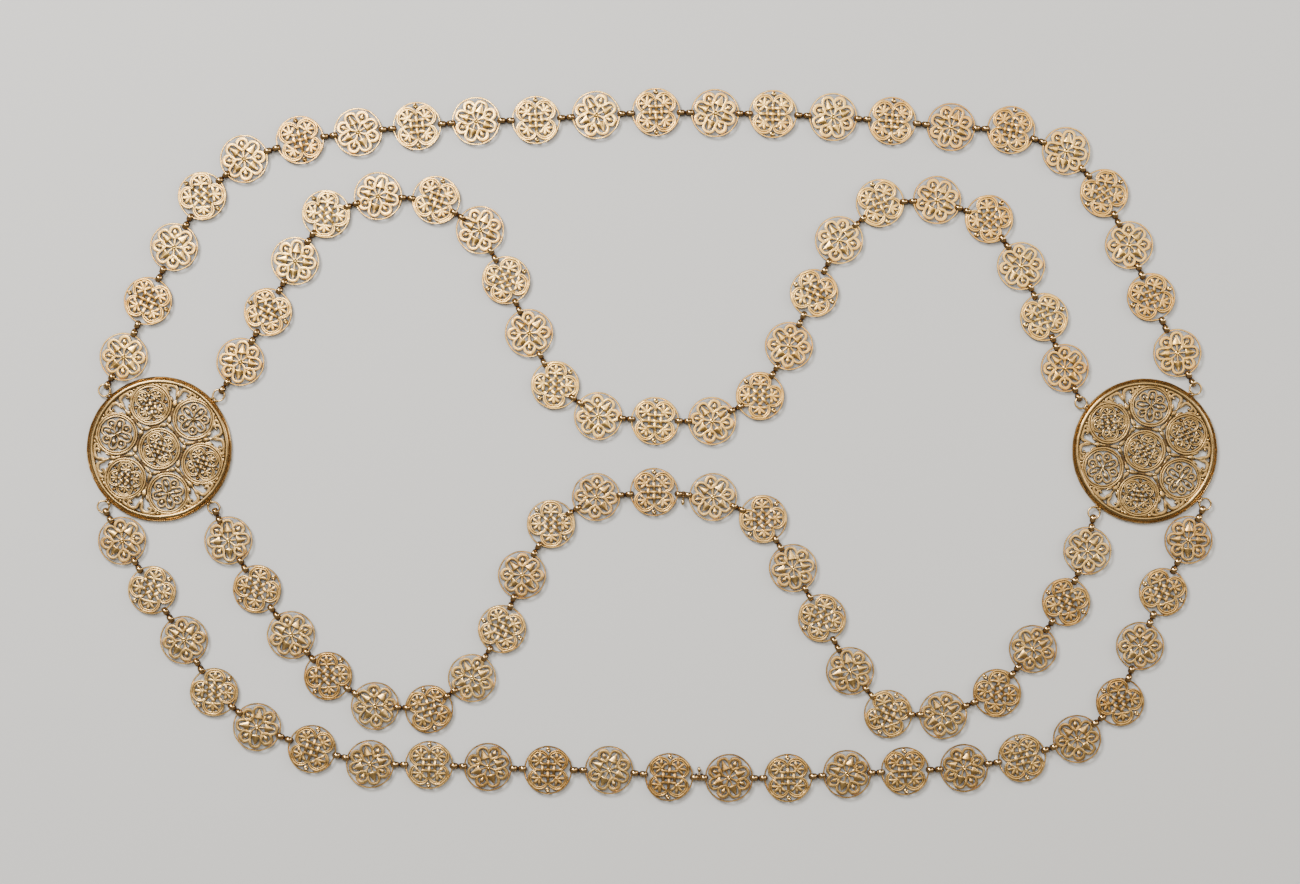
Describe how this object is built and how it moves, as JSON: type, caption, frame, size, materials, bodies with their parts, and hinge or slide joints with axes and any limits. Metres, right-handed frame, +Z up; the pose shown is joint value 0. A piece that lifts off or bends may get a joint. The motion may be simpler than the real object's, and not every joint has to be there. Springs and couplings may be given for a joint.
{
  "type": "body chain",
  "caption": "Gold body chain laid flat: large pierced discs on the left and right, joined by long chains of small pierced medallions.",
  "frame": {"origin": "middle of the underside of the bounding box, on the surface that the chain lies on", "axes": "+X from the left large disc to the right one, +Y toward the upper chains as the picture shows them, +Z up"},
  "size_m": [0.5928, 0.375, 0.0048],
  "materials": {
    "gold": "soft worn gold, darker in the recesses",
    "dark_gold": "darker worn gold wire"
  },
  "bodies": {
    "root": {"large_disc_left": "gold", "large_disc_right": "gold", "upper_outer_chain_left": "gold", "upper_outer_chain_right": "gold", "upper_inner_chain_left": "gold", "upper_inner_chain_right": "gold", "lower_inner_chain_left": "gold", "lower_inner_chain_right": "gold", "lower_outer_chain_left": "gold", "lower_outer_chain_right": "gold", "ring_upper_outer_left": "dark_gold", "ring_upper_outer_right": "dark_gold", "ring_upper_inner_left": "dark_gold", "ring_upper_inner_right": "dark_gold", "ring_lower_inner_left": "dark_gold", "ring_lower_inner_right": "dark_gold", "ring_lower_outer_left": "dark_gold", "ring_lower_outer_right": "dark_gold", "clasp_pin_lower_inner": "dark_gold", "clasp_pin_lower_outer": "dark_gold"}
  },
  "joints": []
}
